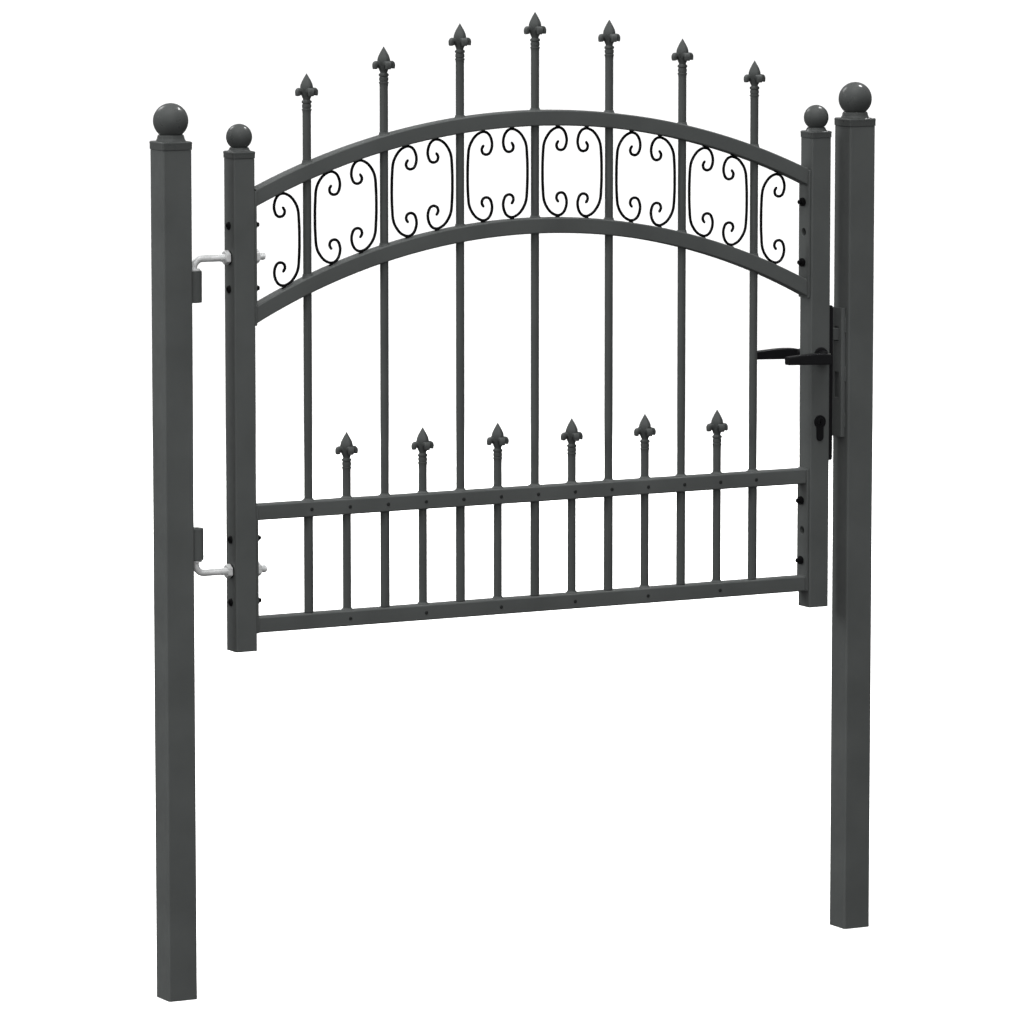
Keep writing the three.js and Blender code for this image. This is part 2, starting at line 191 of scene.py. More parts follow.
anthracite = powder_coat("anthracite_powder_coat", ANTHRACITE, 0.46, 0.4)
# The frame's paint on the pickets, a shade darker all over: painted shade for the dark edges of the round
# bars. The coarser grain is the cast texture.
shaded_spear_paint = powder_coat("anthracite_cast_spear_painted_shade", shade(ANTHRACITE, 0.82), 0.5, 0.2, 2.4)
weld_paint = powder_coat("anthracite_weld", shade(ANTHRACITE, 0.85), 0.5, 0.4, 3.5)
cap_gloss = moulded_plastic("anthracite_cap", shade(ANTHRACITE, 0.72), 0.3, 0.35, 0.3)
scroll_paint = powder_coat("black_wire_paint", BLACK, 0.42, 0.1, 1.5)
screw_black = powder_coat("black_oxide", BLACK, 0.36, 0.12)
screw_grey = powder_coat("painted_set_screw", shade(ANTHRACITE, 0.3), 0.4, 0.2)
lever_black = moulded_plastic("black_lever", shade(BLACK, 2), 0.36, 0.2, 0.06)
lock_black = powder_coat("black_lock_coating", shade(BLACK, 1.8), 0.42, 0.12)
zinc = plated_steel("zinc_plating", (0.88, 0.89, 0.89), 0.3, (0.06, 1, 1), 0.62)
nickel = plated_steel("nickel_plating", (0.5, 0.49, 0.47), 0.27, (1, 1, 0.06))


# ---- Mesh making --------------------------------------------------------------------------


def mesh_of(name, shape):
    verts, faces = shape
    mesh = bpy.data.meshes.new(name)
    mesh.from_pydata([tuple(v) for v in verts], [], faces)
    work = bmesh.new()
    work.from_mesh(mesh)
    bmesh.ops.recalc_face_normals(work, faces=work.faces)
    work.to_mesh(mesh)
    work.free()
    return mesh


def cut_out(obj, cutters):
    """Takes closed shapes away from an object's mesh."""
    for shape in cutters:
        tool = bpy.data.objects.new("cutter", mesh_of("cutter", shape))
        bpy.context.scene.collection.objects.link(tool)
        modifier = obj.modifiers.new("cut", "BOOLEAN")
        modifier.object = tool
        modifier.solver = "EXACT"
        depsgraph = bpy.context.evaluated_depsgraph_get()
        result = bpy.data.meshes.new_from_object(obj.evaluated_get(depsgraph))
        obj.modifiers.clear()
        obj.data = result
        bpy.data.objects.remove(tool)


def build(name, shape, material, body, slot, replaces=(), cuts=(), sharp=35, bevel=None):
    """A piece from (vertices, faces): smooth but for its sharp edges, which a bevel may round."""
    obj = bpy.data.objects.new(name, mesh_of(name, shape))
    bpy.context.scene.collection.objects.link(obj)
    cut_out(obj, cuts)
    mesh = obj.data
    mesh.name = name
    mesh.materials.clear()
    mesh.materials.append(material)
    for face in mesh.polygons:
        face.use_smooth = True
    mesh.set_sharp_from_angle(angle=math.radians(sharp))
    if bevel:
        round_over = obj.modifiers.new("edges", "BEVEL")
        round_over.width = mm(bevel)
        round_over.segments = 3
        round_over.limit_method = "ANGLE"
        round_over.angle_limit = math.radians(sharp)
        round_over.harden_normals = True
    else:
        obj.modifiers.new("flat_faces", "WEIGHTED_NORMAL").keep_sharp = True
    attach(obj, body)
    if replaces:
        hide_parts(*replaces)
    return obj


def gathered(shapes):
    """Several shapes as one."""
    verts, faces = [], []
    for shape_verts, shape_faces in shapes:
        start = len(verts)
        verts.extend(shape_verts)
        faces.extend([[index + start for index in face] for face in shape_faces])
    return verts, faces


def loft(rings, ring_shaped=False):
    """Skin over rings of points, capped at its ends, or joined up if it is ring-shaped."""
    count = len(rings[0])
    verts = [point for ring in rings for point in ring]
    faces = []
    for i in range(len(rings) if ring_shaped else len(rings) - 1):
        here, there = i * count, (i + 1) % len(rings) * count
        for j in range(count):
            k = (j + 1) % count
            faces.append([here + j, here + k, there + k, there + j])
    if not ring_shaped:
        faces.append(list(range(count))[::-1])
        faces.append(list(range(len(verts) - count, len(verts))))
    return verts, faces


def placed(outline, origin, first, second):
    """A flat outline set in space by its origin and the directions of its two axes."""
    return [origin + first * u + second * v for u, v in outline]


def polar(radius_at, count=SIDES):
    """An outline from a radius for each angle."""
    outline = []
    for i in range(count):
        angle = 2 * math.pi * i / count
        radius = radius_at(angle)
        outline.append((radius * math.cos(angle), radius * math.sin(angle)))
    return outline


def circle(radius, count=SIDES):
    return polar(lambda angle: max(radius, 1e-6), count)


def rounded_rect(width, height, corner, steps=5):
    """Outline of a rounded rectangle about its middle."""
    outline = []
    for quarter, (side, end) in enumerate([(1, 1), (-1, 1), (-1, -1), (1, -1)]):
        for i in range(steps + 1):
            angle = math.pi / 2 * (quarter + i / steps)
            u = side * (width / 2 - corner) + corner * math.cos(angle)
            v = end * (height / 2 - corner) + corner * math.sin(angle)
            outline.append((u, v))
    return outline


ACROSS = {"x": (Y, Z, X), "y": (Z, X, Y), "z": (X, Y, Z)}


def turned(profile, origin, axis="z", count=SIDES, ring_shaped=False):
    """[radius, distance] profile in mm turned about the axis through the origin."""
    first, second, along = ACROSS[axis]
    rings = []
    for radius, distance in profile:
        rings.append(placed(circle(mm(radius), count), origin + along * mm(distance), first, second))
    return loft(rings, ring_shaped)


def block(start, end):
    corners = [(start[i], end[i]) for i in range(3)]
    outline = [(corners[0][i], corners[1][j]) for i, j in ((0, 0), (1, 0), (1, 1), (0, 1))]
    return loft([placed(outline, Z * height, X, Y) for height in corners[2]])


def smooth_route(points, per_span):
    """A centripetal Catmull-Rom curve through points, each a Vector."""
    ends = [points[0] * 2 - points[1], *points, points[-1] * 2 - points[-2]]
    route = []
    for i in range(len(points) - 1):
        four = ends[i : i + 4]
        knots = [0.0]
        for a, b in zip(four, four[1:]):
            knots.append(knots[-1] + max((b - a).length, 1e-9) ** 0.5)
        for step in range(per_span):
            t = knots[1] + (knots[2] - knots[1]) * step / per_span
            route.append(at_knot(four, knots, t))
    return [*route, points[-1]]


def at_knot(points, knots, t):
    """One point of a Catmull-Rom span, by Barry and Goldman's pyramid."""
    level, reach = points, 1
    while len(level) > 1:
        merged = []
        for i in range(len(level) - 1):
            near, far = (knots[i], knots[i + reach]) if reach < 3 else (knots[1], knots[2])
            share = (t - near) / (far - near)
            merged.append(level[i] * (1 - share) + level[i + 1] * share)
        level, reach = merged, reach + 1
    return level[0]


def swept(route, outline_at):
    """An outline carried along a route in an X-Z plane; outline_at takes the share done."""
    rings = []
    for i, point in enumerate(route):
        heading = (route[min(i + 1, len(route) - 1)] - route[max(i - 1, 0)]).normalized()
        share = i / (len(route) - 1)
        rings.append(placed(outline_at(share), point, Y, heading.cross(Y)))
    return loft(rings)


def bead(start, end, radius, facing):
    """A weld bead with ripples, on a straight line, facing away from its seam."""
    along = (end - start).normalized()
    across = along.cross(facing).normalized()
    length = (end - start).length
    steps = max(int(length / mm(0.45)), 8)
    rings = []
    for i in range(steps + 1):
        share = i / steps
        swell = min(1, 8 * share, 8 * (1 - share)) ** 0.5
        ripple = 1 + 0.13 * math.sin(2 * math.pi * share * length / mm(2.1)) if 0 < i < steps else 1
        size = max(mm(radius) * swell * ripple, mm(0.05))
        rings.append(placed(circle(size, 10), start + along * length * share, across, facing))
    return loft(rings)


# ---- Posts, stiles, rails and strips ------------------------------------------------------

RAILS = ("middle_rail", "bottom_rail")
ARCH_RADIUS = {"upper_arch_rail": mm(977), "lower_arch_rail": mm(900)}
FRAME_BOLTS = [mm(offset) for offset in (-40.2, 40.2)]  # below and above each hook bolt
HOOK_HOLE = 5.4  # radius of the holes that the hook bolts pass through
PLATE_END = mm(17.5)  # how far the faceplate runs past each end of the lock's case
leaf_middle = middle("upper_arch_rail").x
rail_side = high("upper_arch_rail").y - low("upper_arch_rail").y
hook_heights = [middle(f"hook_nut_outer_{end}").z for end in ("upper", "lower")]


def hollow(outer, inner):
    return loft([*outer, *inner[::-1]], ring_shaped=True)


def upright_tube(node, corner, wall):
    """Square tube with round corners and open ends."""
    side = high(node).x - low(node).x
    inner_side = side - mm(2 * wall)
    outer = rounded_rect(side, side, mm(corner))
    inner = rounded_rect(inner_side, inner_side, mm(max(corner - wall, 0.6)))
    ends = [Vector((middle(node).x, 0, height)) for height in (low(node).z, high(node).z)]
    return hollow([placed(outer, end, X, Y) for end in ends], [placed(inner, end, X, Y) for end in ends])


def level_tube(node, corner=2, wall=1.5):
    outer = rounded_rect(rail_side, rail_side, mm(corner))
    inner = rounded_rect(rail_side - mm(2 * wall), rail_side - mm(2 * wall), mm(0.8))
    ends = [Vector((place, 0, middle(node).z)) for place in (low(node).x, high(node).x)]
    return hollow([placed(outer, end, Y, Z) for end in ends], [placed(inner, end, Y, Z) for end in ends])


def arched_tube(node, corner=2, wall=1.5, steps=96):
    """Square tube bent to the arch, ending in two upright planes."""
    half = (high(node).x - low(node).x) / 2
    radius = ARCH_RADIUS[node] - rail_side / 2
    centre = Vector((leaf_middle, 0, high(node).z - ARCH_RADIUS[node]))

    def ring(outline, share):
        points = []
        for across, outwards in outline:
            reach = radius + outwards
            angle = share * math.asin(half / reach)
            points.append(centre + X * reach * math.sin(angle) + Z * reach * math.cos(angle) + Y * across)
        return points

    inner_side = rail_side - mm(2 * wall)
    shares = [2 * i / steps - 1 for i in range(steps + 1)]
    outer = [ring(rounded_rect(rail_side, rail_side, mm(corner)), share) for share in shares]
    inner = [ring(rounded_rect(inner_side, inner_side, mm(0.8)), share) for share in shares]
    return hollow(outer, inner)


def arch_height(node, x, inset):
    """Height at x of an arch's surface, inset metres inside its outer radius."""
    radius = ARCH_RADIUS[node]
    return high(node).z - radius + math.sqrt((radius - inset) ** 2 - (x - leaf_middle) ** 2)


def strip_shape(node):
    start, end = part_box(node)
    outline = rounded_rect(end.y - start.y, end.z - start.z, mm(1.2))
    height = middle(node).z
    return loft([placed(outline, Vector((x, 0, height)), Y, Z) for x in (start.x, end.x)])


def make_tubes():
    def paint(name, shape, body, node, **more):
        build(name, shape, anthracite, body, "anthracite_paint", [node], **more)

    for side in ("left", "right"):
        paint(f"{side}_post_tube", upright_tube(f"{side}_post", 3, 2), "posts", f"{side}_post")
    stile_holes = {"left": left_stile_holes(), "right": right_stile_holes()}
    for side, holes in stile_holes.items():
        tube = upright_tube(f"{side}_stile", 2.5, 1.5)
        paint(f"{side}_stile_tube", tube, "leaf", f"{side}_stile", cuts=holes)
    for node in RAILS:
        paint(f"{node}_tube", level_tube(node), "leaf", node)
    for node in ARCH_RADIUS:
        paint(f"{node}_tube", arched_tube(node), "leaf", node)
    for side in ("left", "right"):
        for end, height in zip(("upper", "lower"), hook_heights):
            node = f"{side}_strip_{end}"
            hole = hook_hole(middle(node).x, height, 4)
            paint(f"{node}_plate", strip_shape(node), "leaf", node, cuts=[hole], bevel=0.5)


def hook_hole(x, height, reach):
    """A round cutter along X, reaching so many mm to both sides."""
    return turned([[HOOK_HOLE, -reach], [HOOK_HOLE, reach]], Vector((x, 0, height)), "x")


def left_stile_holes():
    centre = middle("left_stile").x
    return [hook_hole(centre, height, 20) for height in hook_heights]


def right_stile_holes():
    """Hook holes on the leaf's side, the lock's slot, and the spindle's and cylinder's holes."""
    stile_low, stile_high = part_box("right_stile")
    holes = [hook_hole(stile_low.x, height, 4) for height in hook_heights]
    case_low, case_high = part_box("lock_case")
    slot_half, reach = mm(7.8), mm(3)
    holes.append(
        block(
            (stile_high.x - reach, -slot_half, case_low.z + PLATE_END),
            (stile_high.x + reach, slot_half, case_high.z - PLATE_END),
        )
    )
    holes.append(turned([[6.6, -20], [6.6, 20]], middle("lever_spindle"), "y"))
    holes.append(euro_profile(low("right_stile").y * 1.2, high("right_stile").y * 1.2, 0.3))
    return holes


def euro_profile(near, far, play):
    """Euro cylinder's outline: a round top on a narrower leg with a rounded foot."""
    x, z = middle("cylinder_plug").x, middle("cylinder_plug").z
    leg, radius = 5 + play, 8.5 + play
    foot = (z - low("lock_cylinder").z) * 1000 + play
    join = math.asin(leg / radius)
    outline = []
    for i in range(29):
        angle = join + (2 * math.pi - 2 * join) * i / 28
        outline.append((mm(radius * math.sin(angle)), -mm(radius * math.cos(angle))))
    for i in range(9):
        angle = math.pi * i / 8
        outline.append((-mm(leg * math.cos(angle)), -mm(foot - leg + leg * math.sin(angle))))
    return loft([placed(outline, Vector((x, y, z)), X, Z) for y in (near, far)])


make_tubes()

# ---- Ball caps ----------------------------------------------------------------------------

POST_CAP = {"skirt": 21, "skirt_height": 10.4, "neck": 14.2, "lip": 16.9, "flare": 18.9}
CAP_PLUG = 11  # depth of the plug that sits in the tube
STILE_CAP = {"skirt": 16, "skirt_height": 8.8, "neck": 10.3, "lip": 12.6, "flare": 14.5}


def ball_cap(node, cap):
    """Square skirt with a rolled upper edge, flared neck with a lip, and a ball."""
    ball = (high(node).x - low(node).x) * 500
    foot = Vector((middle(node).x, 0, low(node).z + mm(CAP_PLUG)))
    top = (high(node).z - foot.z) * 1000
    skirt_top = cap["skirt_height"]
    skirt = []
    for inset, height in (
        (0.9, 0),
        (0.35, 0.25),
        (0.25, skirt_top - 3.2),
        (0, skirt_top - 2.4),
        (0, skirt_top - 1.6),
        (0.3, skirt_top - 0.8),
        (0.9, skirt_top - 0.3),
        (1.7, skirt_top),
    ):
        half = cap["skirt"] - inset
        outline = rounded_rect(mm(2 * half), mm(2 * half), mm(3.1 - inset * 0.4), 6)
        skirt.append(placed(outline, foot + Z * mm(height), X, Y))
    centre = top - ball
    seat = centre - math.sqrt(ball**2 - cap["neck"] ** 2)
    rise, flare, lip, neck = seat - skirt_top, cap["flare"], cap["lip"], cap["neck"]
    slope = [
        Vector((flare, 0, skirt_top - 0.3)),
        Vector((flare - 0.3, 0, skirt_top + rise * 0.1)),
        Vector((lip + (flare - lip) * 0.25, 0, skirt_top + rise * 0.42)),
        Vector((lip, 0, skirt_top + rise * 0.68)),
        Vector((lip - 0.5, 0, skirt_top + rise * 0.86)),
        Vector((neck + (lip - neck) * 0.4, 0, skirt_top + rise * 0.98)),
        Vector((neck, 0, seat)),
    ]
    profile = [[0, skirt_top - 1], *[[point.x, point.z] for point in smooth_route(slope, 4)]]
    seat_angle = math.asin(neck / ball)
    steps = 30
    for i in range(1, steps + 1):
        angle = seat_angle + (math.pi - seat_angle) * i / steps
        profile.append([ball * math.sin(angle), centre - ball * math.cos(angle)])
    inner = mm(2 * cap["skirt"] - 8)
    plug = [
        placed(rounded_rect(inner - mm(trim), inner - mm(trim), mm(1.5), 6), foot + Z * mm(height), X, Y)
        for trim, height in ((1.5, -CAP_PLUG), (0, 1.5 - CAP_PLUG), (0, 1))
    ]
    return gathered([loft(skirt), turned(profile, foot, count=64), loft(plug)])


for side in ("left", "right"):
    for kind, cap, body in (("post", POST_CAP, "posts"), ("stile", STILE_CAP, "leaf")):
        node = f"{side}_{kind}_cap"
        build(f"{node}_ball", ball_cap(node, cap), cap_gloss, body, "cap_plastic", [node])

# ---- Pickets ------------------------------------------------------------------------------

LONG = [f"long_picket_{i}" for i in range(1, 8)]
SHORT = [f"short_picket_{i}" for i in range(1, 7)]
BAR = 5.4
SLEEVE = 6
# Blade: [radius, drop below the tip] down to the neck.
BLADE = [
    [0.12, 0],
    [0.9, 1.2],
    [2.3, 3.6],
    [4.1, 6.8],
    [5.9, 10.4],
    [7.3, 13.8],
    [7.9, 16.6],
    [7.8, 19.5],
    [7.3, 23],
    [6.4, 27],
    [5.4, 30.5],
    [4.6, 33.2],
]
FERRULE = [
    [4.2, 32],
    [4.6, 33.6],
    [5.3, 34.3],
    [6.3, 35],
    [6.45, 35.8],
    [6.45, 36.8],
    [6.2, 37.5],
    [5.3, 38],
    [5.3, 39.2],
    [5.95, 39.7],
    [5.95, 43.2],
    [5.3, 43.7],
    [5.3, 44.8],
    [6.2, 45.2],
    [6.3, 46],
    [6.2, 46.8],
    [5.6, 47.6],
    [BAR, 51.5],
]
# Petal: [distance from the axis, drop below the tip, width, thickness], from root to cut end.
PETAL = [
    [4.0, 31, 4.8, 2.2],
    [4.9, 27.6, 6.2, 2.8],
    [6.3, 24.2, 7.6, 3.6],
    [8.4, 21.5, 8.4, 4.8],
    [10.8, 21.0, 8.5, 5.4],
    [12.3, 22.8, 8.3, 5.2],
    [12.6, 25.6, 7.6, 4.9],
    [12.4, 28.4, 6.8, 4.6],
]


def blade(tip):
    """Cast ogive with four soft ridges."""
    rings = []
    for radius, drop in BLADE:
        ridge = 0.02 + 0.075 * min(1, drop / 8) * min(1, max(0, (34 - drop) / 8))

        def outline_radius(angle, radius=radius, ridge=ridge):
            return mm(radius) * (1 + ridge * (math.cos(4 * angle) + 0.25 * math.cos(8 * angle)))

        rings.append(placed(polar(outline_radius, 32), tip - Z * mm(drop), X, Y))
    return loft(rings)


def petal(tip, away, side):
    """A strap that springs from the blade and folds over into a solid lobe with a cut end."""
    spine = smooth_route([Vector((reach, thick, -drop)) for reach, drop, width, thick in PETAL], 4)
    widths = smooth_route([Vector((reach, width, -drop)) for reach, drop, width, thick in PETAL], 4)
    rings = []
    for i, point in enumerate(spine):
        before, after = spine[max(i - 1, 0)], spine[min(i + 1, len(spine) - 1)]
        run, climb = after.x - before.x, after.z - before.z
        length = math.hypot(run, climb)
        normal = (away * -climb + Z * run) / length
        trim = mm(0.7) if i == len(spine) - 1 else 0
        width, depth = mm(widths[i].y) - trim, mm(point.y) - trim
        outline = rounded_rect(width, depth, min(width, depth) * 0.32, 3)
        centre = tip + away * mm(point.x) + Z * mm(point.z)
        rings.append(placed(outline, centre, side, normal))
    return loft(rings)


def bar_profile(tip, stations):
    """[radius, height] stations turned into drops below the tip."""
    return [[radius, (tip.z - height) * 1000] for radius, height in stations]


def picket(node, stations):
    tip = Vector((middle(node).x, 0, high(node).z))
    profile = [*FERRULE, *bar_profile(tip, stations)]
    shapes = [turned([[radius, -drop] for radius, drop in profile], tip, count=28), blade(tip)]
    for away, side in ((X, Y), (Y, -X), (-X, -Y), (-Y, X)):
        shapes.append(petal(tip, away, side))
    return gathered(shapes)


def make_pickets():
    sleeve_top = low("middle_rail").z - GAP
    foot = low("long_picket_1").z
    sleeved = [
        [BAR, sleeve_top + mm(0.2)],
        [SLEEVE - 0.5, sleeve_top],
        [SLEEVE, sleeve_top - mm(0.6)],
        [SLEEVE, foot + mm(0.6)],
        [SLEEVE - 0.5, foot],
    ]
    for i, node in enumerate(LONG):
        build(f"long_spear_{i + 1}", picket(node, sleeved), shaded_spear_paint, "leaf", "anthracite_paint", [node])
    plain = [[BAR, low("short_picket_1").z + mm(0.5)], [BAR - 0.5, low("short_picket_1").z]]
    for i, node in enumerate(SHORT):
        build(f"short_spear_{i + 1}", picket(node, plain), shaded_spear_paint, "leaf", "anthracite_paint", [node])


make_pickets()

# Cone collars: base radius and height. Each follows its rail's slope at its foot.
ARCH_COLLAR = (7.4, 2.8)
MIDDLE_COLLAR = (8.8, 3.0)
BOTTOM_COLLAR = (8.1, 2.8)


def collar(place, slope, size):
    """Ring round a bar that narrows upwards, sunk a little into its rail."""
    base, top = size
    neck = BAR + 0.7
    stations = [[BAR - 0.2, -2.5, 1], [base - 0.3, -2.5, 1], [base, 0, 1], [base - 0.15, 0.5, 1]]
    for share in (0.3, 0.55, 0.85):
        radius = neck + (base - 0.3 - neck) * (1 - share) ** 1.5
        stations.append([radius, top * share, 1 - share])
    stations += [[neck, top, 0], [BAR - 0.2, top + 0.2, 0]]
    rings = []
    for radius, height, share in stations:
        ring = placed(circle(mm(radius), 28), place + Z * mm(height), X, Y)
        rings.append([point + Z * (point.x - place.x) * slope * share for point in ring])
    return loft(rings, ring_shaped=True)


def button_screw(place, facing, radius, height):
    """Domed head with a hexagonal socket, seen along the direction it faces."""
    first = Z if abs(facing.z) < 0.5 else X
    second = facing.cross(first)
    rings = []
    dome = [[radius, -0.4], [radius, 0.15]]
    for i in range(1, 6):
        angle = math.pi / 2 * i / 6
        dome.append([radius * math.cos(angle * 0.75), 0.15 + (height - 0.15) * math.sin(angle)])
    for size, rise in dome:
        rings.append(placed(circle(mm(size), 24), place + facing * mm(rise), first, second))
    for share, rise in ((1, height), (1, height * 0.25), (0.1, height * 0.1)):
        outline = polar(lambda angle: mm(radius * 0.42 * share) * hexagon(angle), 24)
        rings.append(placed(outline, place + facing * mm(rise), first, second))
    return loft(rings)


def hexagon(angle):
    """Distance to a hexagon's edge whose flats are 1 from its middle."""
    return 1 / math.cos((angle + math.pi / 6) % (math.pi / 3) - math.pi / 6)


def make_collars_and_set_screws():
    def add(name, place, size, slope=0.0):
        build(name, collar(place, slope, size), weld_paint, "leaf", "anthracite_paint")

    def screw(name, node, rail):
        place = Vector((middle(node).x, low(rail).y, middle(rail).z))
        build(name, button_screw(place, -Y, 2.4, 1.1), screw_grey, "leaf", "scroll_black")

    for node in [*LONG, *SHORT]:
        x = middle(node).x
        add(f"collar_middle_{node}", Vector((x, 0, high("middle_rail").z)), MIDDLE_COLLAR)
        screw(f"set_screw_middle_{node}", node, "middle_rail")
        if node in SHORT:
            add(f"collar_bottom_{node}", Vector((x, 0, high("bottom_rail").z)), BOTTOM_COLLAR)
            screw(f"set_screw_bottom_{node}", node, "bottom_rail")
            continue
        for rail, name in (("upper_arch_rail", "upper"), ("lower_arch_rail", "lower")):
            height = arch_height(rail, x, 0)
            slope = -(x - leaf_middle) / (height - high(rail).z + ARCH_RADIUS[rail])
            add(f"collar_{name}_{node}", Vector((x, 0, height)), ARCH_COLLAR, slope)


make_collars_and_set_screws()

# ---- Scrolls ------------------------------------------------------------------------------

WIRE = 1.85
# From the end of a curl round to the middle of the back: [from the back, from the arch], in mm.
HALF_SCROLL = [
    [23.7, 16.8],
    [20.6, 22.6],
    [22.3, 27.6],
    [27.2, 29.5],
    [32.2, 27.4],
    [35.6, 18],
    [33.6, 7.6],
    [28.8, 1.7],
    [22.3, 0],
    [13.2, 3.8],
    [6.3, 11.5],
    [2.2, 20.5],
    [0.5, 37],
]
CROWN = 8  # place in that list of the point that touches the arch


def scroll_wire(node, way):
    back = (low(node).x if way > 0 else high(node).x) + way * mm(WIRE)
    top, bottom = high(node).z - mm(WIRE), low(node).z + mm(WIRE)
    upper = [Vector((back + way * mm(u), 0, top - mm(v))) for u, v in HALF_SCROLL]
    lower = [Vector((back + way * mm(u), 0, bottom + mm(v))) for u, v in HALF_SCROLL]
    route = smooth_route([*upper, Vector((back, 0, (top + bottom) / 2)), *lower[::-1]], 7)

    def section(share):
        edge = min(share, 1 - share) * (len(route) - 1)
        return circle(mm(WIRE) * (0.45, 0.85, 1)[min(round(edge), 2)], 12)

    welds = []
    for point, arch, side in ((upper[CROWN], "upper_arch_rail", 1), (lower[CROWN], "lower_arch_rail", -1)):
        inset = rail_side if side > 0 else 0
        ends = []
        for reach in (-mm(3.2), mm(3.2)):
            x = point.x + reach
            ends.append(Vector((x, 0, arch_height(arch, x, inset))))
        welds.append(bead(ends[0], ends[1], 1.7, Z * side))
    return gathered([swept(route, section), *welds])


def make_scrolls():
    for i in range(14):
        node = f"scroll_{i + 1}"
        way = 1 if i % 2 else -1
        wire = scroll_wire(node, way)
        build(f"scroll_wire_{i + 1}", wire, scroll_paint, "leaf", "scroll_black", [node])


make_scrolls()

# ---- Hinges -------------------------------------------------------------------------------

ROD = 4.4
THREAD = 5.0
PITCH = 1.5
THREAD_RUN = 29.2  # from the thread's start to the stile's axis
pin_x = low("hook_bolt_upper").x + mm(ROD)


def barrel(node):
    """Welded socket: a thick tube with chamfered rims."""
    length = (high(node).z - low(node).z) * 1000
    foot = Vector((pin_x, 0, low(node).z))
    outer, bore = 10.4, 4.8
    profile = [
        [bore, 0.5],
        [bore + 0.5, 0],
        [outer - 0.7, 0],
        [outer, 0.7],
        [outer, length - 0.7],
        [outer - 0.7, length],
        [bore + 0.5, length],
        [bore, length - 0.5],
    ]
    return turned(profile, foot, count=48, ring_shaped=True)


def hook_rod(node, height):
    """Round rod from the pin's end round the bend to where the thread starts."""
    up = middle(node).z > height
    far = high(node).z if up else low(node).z
    turn = mm(12)
    way = 1 if up else -1
    route = [Vector((pin_x, 0, far)), Vector((pin_x, 0, far - way * mm(0.8)))]
    route.append(Vector((pin_x, 0, height + way * (turn + mm(4)))))
    for i in range(15):
        angle = math.pi / 2 * i / 14
        x = pin_x + turn * (1 - math.cos(angle))
        route.append(Vector((x, 0, height + way * turn * (1 - math.sin(angle)))))
    route.append(Vector((pin_x + turn + mm(2), 0, height)))
    route.append(Vector((middle("left_stile").x - mm(THREAD_RUN - 0.2), 0, height)))
    last = len(route) - 1

    def section(share):
        return circle(mm(ROD - 0.7 if round(share * last) == 0 else ROD), 28)

    return swept(route, section)


def threaded(start_x, end_x, height):
    """Helical thread with a chamfered end."""
    step = PITCH / 6
    count = int((end_x - start_x) * 1000 / step)
    rings = []
    for i in range(count + 1):
        x = start_x + mm(i * step)
        fade = min(1, i / 4, (count - i) / 5)

        def radius_at(angle, i=i, fade=fade):
            turn = (i / 6 - angle / (2 * math.pi)) % 1
            ridge = 1 - abs(2 * turn - 1)
            return mm(4.15 + (THREAD - 4.15) * ridge * fade)

        rings.append(placed(polar(radius_at, 28), Vector((x, 0, height)), Y, Z))
    return loft(rings)


def hex_nut(start_x, height, flats, thickness, bore):
    """Nut with its corners chamfered to a cone at both faces."""
    half = flats / 2
    outer, face = half / math.cos(math.pi / 6), half * 0.97
    stations = [[0, face], [0.45, (face + outer) / 2], [0.95, outer]]
    stations += [[thickness - x, r] for x, r in stations[::-1]]
    rings = []
    for x, cone in stations:
        outline = polar(lambda angle: mm(min(half * hexagon(angle), cone)), 60)
        rings.append(placed(outline, Vector((start_x + mm(x), 0, height)), Y, Z))
    for x, radius in ((thickness, bore + 0.6), (thickness - 0.6, bore), (0.6, bore), (0, bore + 0.6)):
        rings.append(placed(circle(mm(radius), 60), Vector((start_x + mm(x), 0, height)), Y, Z))
    return loft(rings, ring_shaped=True)


def washer(place, axis, outer, bore, thickness):
    profile = [
        [bore, 0],
        [outer - 0.3, 0],
        [outer, 0.3],
        [outer, thickness - 0.3],
        [outer - 0.3, thickness],
        [bore, thickness],
    ]
    return turned(profile, place, axis, count=40, ring_shaped=True)


def make_hinges():
    for end, height in zip(("upper", "lower"), hook_heights):
        socket, bolt = f"hinge_socket_{end}", f"hook_bolt_{end}"
        build(f"hinge_barrel_{end}", barrel(socket), anthracite, "posts", "anthracite_paint", [socket])
        face = high("left_post").x
        seams = []
        for way in (-1, 1):
            start = Vector((face + mm(0.3), way * mm(4.6), low(socket).z + mm(1)))
            stop = Vector((start.x, start.y, high(socket).z - mm(1)))
            seams.append(bead(start, stop, 1.9, Vector((1, way, 0)).normalized()))
        build(f"barrel_weld_{end}", gathered(seams), weld_paint, "posts", "anthracite_paint")

        thread_from = middle("left_stile").x - mm(THREAD_RUN)
        rod = gathered([hook_rod(bolt, height), threaded(thread_from, high(bolt).x, height)])
        build(f"hook_rod_{end}", rod, zinc, "leaf", "zinc_steel", [bolt])
        for place in ("outer", "inner"):
            node = f"hook_nut_{place}_{end}"
            nut = hex_nut(low(node).x, height, 16, 7, 5.1)
            build(f"hook_nut_{place}_{end}_hex", nut, zinc, "leaf", "zinc_steel", [node], bevel=0.12)
        seat = Vector((pin_x, 0, high(socket).z if end == "upper" else low(socket).z - mm(2.5)))
        build(f"pin_washer_{end}", washer(seat, "z", 8.2, 4.6, 2.4), zinc, "leaf", "zinc_steel")
        # A black ring behind each outer nut: painted shade, a dark piece set where the shade round the nut
        # falls.
        cup = Vector((low("left_stile").x - mm(1.1), 0, height))
        build(f"nut_shade_ring_{end}", washer(cup, "x", 9.3, 5.2, 1.1), screw_black, "leaf", "scroll_black")


make_hinges()


# ---- Frame bolts --------------------------------------------------------------------------


def bolt_head(x, height, way):
    """Low domed head with a hexagonal socket on a stile's outer face."""
    return button_screw(Vector((x, 0, height)), X * way, 5.3, 3)


